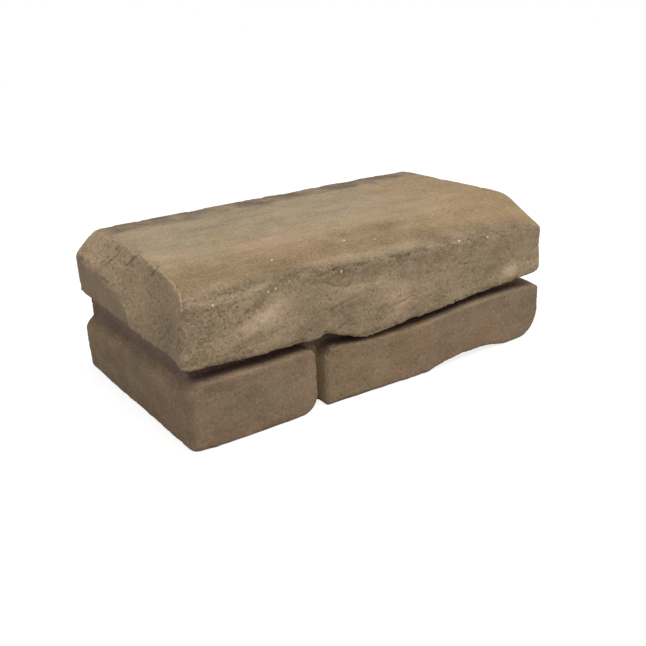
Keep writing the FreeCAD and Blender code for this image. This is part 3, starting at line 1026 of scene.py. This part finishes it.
SKY_LEVEL = 0.5
FLOOR_GREY = 0.38
FLOOR_GLOW = 0.82
FLOOR_HALF = 4.0
LAMP_PLACE = (0.35, -0.75, 1.9)
LAMP_SIDE = 1.6
LAMP_WATTS = 23

# Camera of the photograph: side and focal length in pixels, sensor and place in millimetres, degrees
IMAGE_SIDE = 646
FOCAL_PIXELS = 835
SENSOR = 36
CAMERA_PLACE = (-491.1, -725.4, 372.7)
CAMERA_AZIMUTH = -34.03
CAMERA_ELEVATION = 21.39
CAMERA_ROLL = -2.55


def seen_directly(shader):
    """1 for rays that show the surface itself or its reflection, 0 for rays that carry its light."""
    path = shader.add("LightPath")
    camera_ray, glossy_ray, transmission_ray = (
        path.outputs[name] for name in ("Is Camera Ray", "Is Glossy Ray", "Is Transmission Ray"))
    return shader.math("MAXIMUM", shader.math("MAXIMUM", camera_ray, glossy_ray), transmission_ray)


def floor():
    """A pale floor that reads as white and keeps the block's shadow."""
    shader = Shader("pale_floor")
    matt = shader.add("BsdfDiffuse", {"Color": (FLOOR_GREY, FLOOR_GREY, FLOOR_GREY, 1)})
    strength = shader.math("MULTIPLY", seen_directly(shader), FLOOR_GLOW)
    glow = shader.add("Emission", {"Strength": strength})
    both = shader.add("AddShader", {0: matt.outputs[0], 1: glow.outputs[0]})
    shader.add("OutputMaterial", {"Surface": both.outputs[0]})
    mesh = bpy.data.meshes.new("floor")
    corners = [(-1, -1), (1, -1), (1, 1), (-1, 1)]
    points = [(FLOOR_HALF * x, FLOOR_HALF * y, BED * MM) for x, y in corners]
    mesh.from_pydata(points, [], [(0, 1, 2, 3)])
    mesh.materials.append(shader.material)
    plane = bpy.data.objects.new("floor", mesh)
    bpy.context.scene.collection.objects.link(plane)


def light():
    """A large soft lamp overhead in an even pale room."""
    lamp = bpy.data.lights.new("overhead", "AREA")
    lamp.size = LAMP_SIDE
    lamp.energy = LAMP_WATTS
    holder = bpy.data.objects.new("overhead", lamp)
    holder.location = LAMP_PLACE
    holder.rotation_euler = Vector(LAMP_PLACE).to_track_quat("Z", "Y").to_euler()
    bpy.context.scene.collection.objects.link(holder)

    world = bpy.data.worlds.new("room")
    world.use_nodes = True
    tree = world.node_tree
    path = tree.nodes.new("ShaderNodeLightPath")
    level = tree.nodes.new("ShaderNodeMapRange")
    level.inputs["To Min"].default_value = SKY_LEVEL
    tree.links.new(path.outputs["Is Camera Ray"], level.inputs["Value"])
    sky = tree.nodes["Background"]
    sky.inputs["Color"].default_value = (1, 1, 1, 1)
    tree.links.new(level.outputs["Result"], sky.inputs["Strength"])
    bpy.context.scene.world = world


def camera():
    """The photograph's viewpoint."""
    azimuth, elevation, roll = map(math.radians, (CAMERA_AZIMUTH, CAMERA_ELEVATION, CAMERA_ROLL))
    level = math.cos(elevation)
    back = Vector((math.sin(azimuth) * level, -math.cos(azimuth) * level, math.sin(elevation)))
    right = Vector((0, 0, 1)).cross(back).normalized()
    up = back.cross(right)
    rolled_right = right * math.cos(roll) + up * math.sin(roll)
    rolled_up = up * math.cos(roll) - right * math.sin(roll)
    data = bpy.data.cameras.new("photo")
    data.sensor_width = SENSOR
    data.lens = FOCAL_PIXELS / IMAGE_SIDE * SENSOR
    holder = bpy.data.objects.new("photo", data)
    turn = Matrix((rolled_right, rolled_up, back)).transposed().to_4x4()
    holder.matrix_world = Matrix.Translation(Vector(CAMERA_PLACE) * MM) @ turn
    bpy.context.scene.collection.objects.link(holder)
    bpy.context.scene.camera = holder


wall_block()
floor()
light()
camera()
bpy.context.scene.view_settings.view_transform = "Standard"
